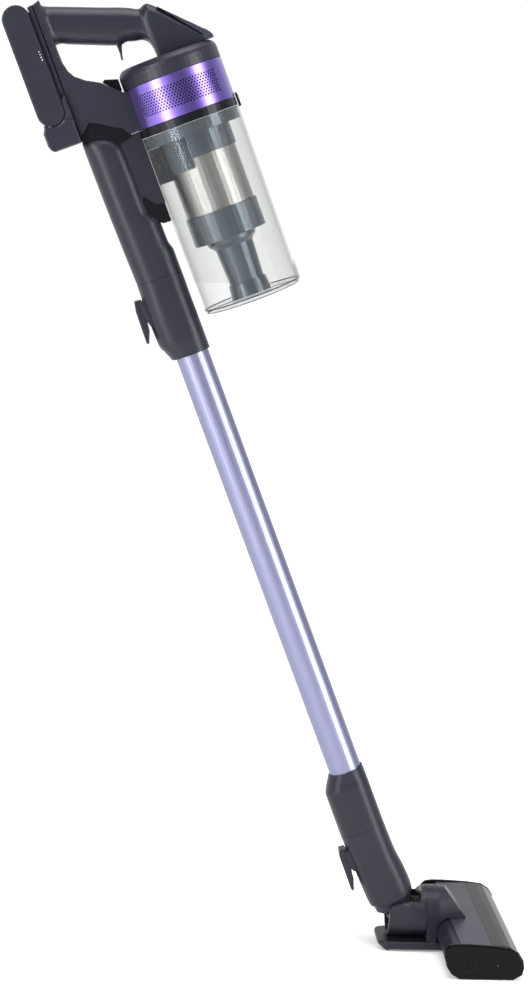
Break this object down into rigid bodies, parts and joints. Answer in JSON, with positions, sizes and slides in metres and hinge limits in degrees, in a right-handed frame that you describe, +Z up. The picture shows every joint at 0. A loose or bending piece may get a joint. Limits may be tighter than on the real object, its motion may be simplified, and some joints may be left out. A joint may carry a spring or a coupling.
{
  "type": "cordless stick vacuum",
  "caption": "Cordless stick vacuum: handle with rear battery, clear cyclone bin, straight wand and a pivoting motorised floor head.",
  "frame": {"origin": "middle of the handle bar, where the hand holds it", "axes": "+Z up with the floor head flat on the floor and the stick leaning back 22.1 degrees; -Y forward, the way the head travels; +X across"},
  "size_m": [0.25, 0.6386, 1.1129],
  "materials": {
    "slate_plastic": "fine satin grain",
    "dark_plastic": "satin",
    "lavender_aluminium": "anodised, satin",
    "violet_band": "metallic violet, satin gloss",
    "clear_plastic": "clear moulded plastic, polished",
    "cyclone_grey": "satin, faintly translucent",
    "mesh_steel": "fine perforation, satin",
    "plate_grey": "satin",
    "smoked_window": "smoked, polished",
    "black_rubber": "matt",
    "roller_nap": "dense pile",
    "filter_media": "pleated"
  },
  "bodies": {
    "hand_unit": {"handle_frame": "slate_plastic", "handle_grip": "slate_plastic", "handle_head": "slate_plastic", "control_panel": "plate_grey", "motor_shoulder": "slate_plastic", "exhaust_band": "violet_band", "filter_ring": "filter_media", "motor_base_ring": "dark_plastic", "motor_can": "mesh_steel", "suction_duct": "slate_plastic", "bin_rail": "slate_plastic", "bin_hook": "dark_plastic", "trigger_pin": "mesh_steel"},
    "trigger": {"trigger": "slate_plastic"},
    "power_button": {"power_button": "dark_plastic"},
    "mode_button": {"mode_button": "dark_plastic"},
    "release_button": {"release_button": "dark_plastic"},
    "impeller": {"impeller": "dark_plastic"},
    "battery": {"battery_pack": "slate_plastic", "battery_plate_near": "slate_plastic", "battery_plate_far": "slate_plastic", "battery_rail": "slate_plastic", "battery_foot": "slate_plastic"},
    "bin": {"bin_collar": "cyclone_grey", "clear_bin": "clear_plastic", "cyclone_shroud": "cyclone_grey", "cyclone_inlet": "dark_plastic", "mesh_screen": "mesh_steel", "cyclone_core": "cyclone_grey", "cyclone_skirt": "cyclone_grey", "dust_tube": "cyclone_grey", "dust_foot": "cyclone_grey"},
    "bin_lid": {"bin_lid": "clear_plastic"},
    "lid_latch": {"lid_latch": "clear_plastic"},
    "bin_latch": {"bin_latch": "dark_plastic"},
    "wand": {"upper_collar": "slate_plastic", "wand_tube": "lavender_aluminium", "lower_collar": "slate_plastic"},
    "upper_lever": {"upper_lever": "slate_plastic"},
    "neck": {"neck": "slate_plastic", "ribbed_hose": "black_rubber"},
    "lower_lever": {"lower_lever": "slate_plastic"},
    "yoke": {"yoke": "slate_plastic", "pitch_pin_near": "mesh_steel", "pitch_pin_far": "mesh_steel"},
    "floor_head": {"base_plate": "slate_plastic", "roller_housing": "slate_plastic", "head_cover": "slate_plastic", "top_plate": "plate_grey", "window": "smoked_window", "end_cap_near": "dark_plastic", "end_cap_far": "dark_plastic"},
    "roller": {"roller_core": "dark_plastic", "roller_nap": "roller_nap"},
    "rear_wheel_near": {"rear_wheel_near": "black_rubber"},
    "rear_wheel_far": {"rear_wheel_far": "black_rubber"},
    "front_wheel_near": {"front_wheel_near": "black_rubber"},
    "front_wheel_far": {"front_wheel_far": "black_rubber"}
  },
  "joints": [
    {"name": "trigger_pivot", "type": "hinge", "parent": "hand_unit", "child": "trigger", "pos_m": [0, -0.03078, -0.00801], "axis": [1, 0, 0], "range_deg": [0, 8], "stiffness_Nm_per_rad": 0.05, "springref_deg": -28.65},
    {"name": "power_button_press", "type": "slide", "parent": "hand_unit", "child": "power_button", "axis": [0, 0.3825, -0.924], "range_m": [0, 0.0008], "stiffness_N_per_m": 800, "springref_m": -0.001},
    {"name": "mode_button_press", "type": "slide", "parent": "hand_unit", "child": "mode_button", "axis": [0, 0.3825, -0.924], "range_m": [0, 0.0008], "stiffness_N_per_m": 800, "springref_m": -0.001},
    {"name": "release_button_press", "type": "slide", "parent": "hand_unit", "child": "release_button", "axis": [0, 0.4021, -0.9156], "range_m": [0, 0.0012], "stiffness_N_per_m": 800, "springref_m": -0.001},
    {"name": "impeller_spin", "type": "hinge", "parent": "hand_unit", "child": "impeller", "pos_m": [0, -0.11057, -0.08678], "axis": [0, 0.3762, 0.9265], "continuous": true},
    {"name": "battery_slide", "type": "slide", "parent": "hand_unit", "child": "battery", "axis": [0, 0.3762, 0.9265], "range_m": [0, 0.15]},
    {"name": "bin_slide", "type": "slide", "parent": "hand_unit", "child": "bin", "axis": [0, -0.3762, -0.9265], "range_m": [0, 0.12]},
    {"name": "bin_lid_hinge", "type": "hinge", "parent": "bin", "child": "bin_lid", "pos_m": [0, -0.14568, -0.32421], "axis": [1, 0, 0], "range_deg": [0, 90]},
    {"name": "lid_latch_flex", "type": "hinge", "parent": "bin", "child": "lid_latch", "pos_m": [0, -0.24406, -0.25922], "axis": [-1, 0, 0], "range_deg": [0, 4], "stiffness_Nm_per_rad": 0.05, "springref_deg": -28.65},
    {"name": "bin_latch_pivot", "type": "hinge", "parent": "hand_unit", "child": "bin_latch", "pos_m": [0, -0.16841, -0.06761], "axis": [-1, 0, 0], "range_deg": [0, 12], "stiffness_Nm_per_rad": 0.05, "springref_deg": -28.65},
    {"name": "wand_slide", "type": "slide", "parent": "hand_unit", "child": "wand", "axis": [0, -0.3762, -0.9265], "range_m": [0, 0.06]},
    {"name": "upper_lever_pivot", "type": "hinge", "parent": "wand", "child": "upper_lever", "pos_m": [0, -0.06853, -0.32187], "axis": [-1, 0, 0], "range_deg": [0, 5], "stiffness_Nm_per_rad": 0.2, "springref_deg": -17.19},
    {"name": "neck_slide", "type": "slide", "parent": "wand", "child": "neck", "axis": [0, -0.3762, -0.9265], "range_m": [0, 0.05]},
    {"name": "lower_lever_pivot", "type": "hinge", "parent": "neck", "child": "lower_lever", "pos_m": [0, -0.33592, -0.97743], "axis": [-1, 0, 0], "range_deg": [0, 5], "stiffness_Nm_per_rad": 0.2, "springref_deg": -17.19},
    {"name": "head_pitch", "type": "hinge", "parent": "neck", "child": "yoke", "pos_m": [0, -0.39864, -1.03715], "axis": [1, 0, 0], "range_deg": [-17, 53], "deforming": ["ribbed_hose"]},
    {"name": "head_swivel", "type": "hinge", "parent": "yoke", "child": "floor_head", "pos_m": [0, -0.43464, -1.04065], "axis": [0, 1, 0], "range_deg": [-80, 80]},
    {"name": "roller_spin", "type": "hinge", "parent": "floor_head", "child": "roller", "pos_m": [0, -0.51464, -1.06495], "axis": [1, 0, 0], "continuous": true},
    {"name": "rear_wheel_near_spin", "type": "hinge", "parent": "floor_head", "child": "rear_wheel_near", "pos_m": [-0.02, -0.38864, -1.07915], "axis": [1, 0, 0], "continuous": true},
    {"name": "rear_wheel_far_spin", "type": "hinge", "parent": "floor_head", "child": "rear_wheel_far", "pos_m": [0.02, -0.38864, -1.07915], "axis": [1, 0, 0], "continuous": true},
    {"name": "front_wheel_near_spin", "type": "hinge", "parent": "floor_head", "child": "front_wheel_near", "pos_m": [-0.085, -0.48064, -1.07915], "axis": [1, 0, 0], "continuous": true},
    {"name": "front_wheel_far_spin", "type": "hinge", "parent": "floor_head", "child": "front_wheel_far", "pos_m": [0.085, -0.48064, -1.07915], "axis": [1, 0, 0], "continuous": true}
  ]
}
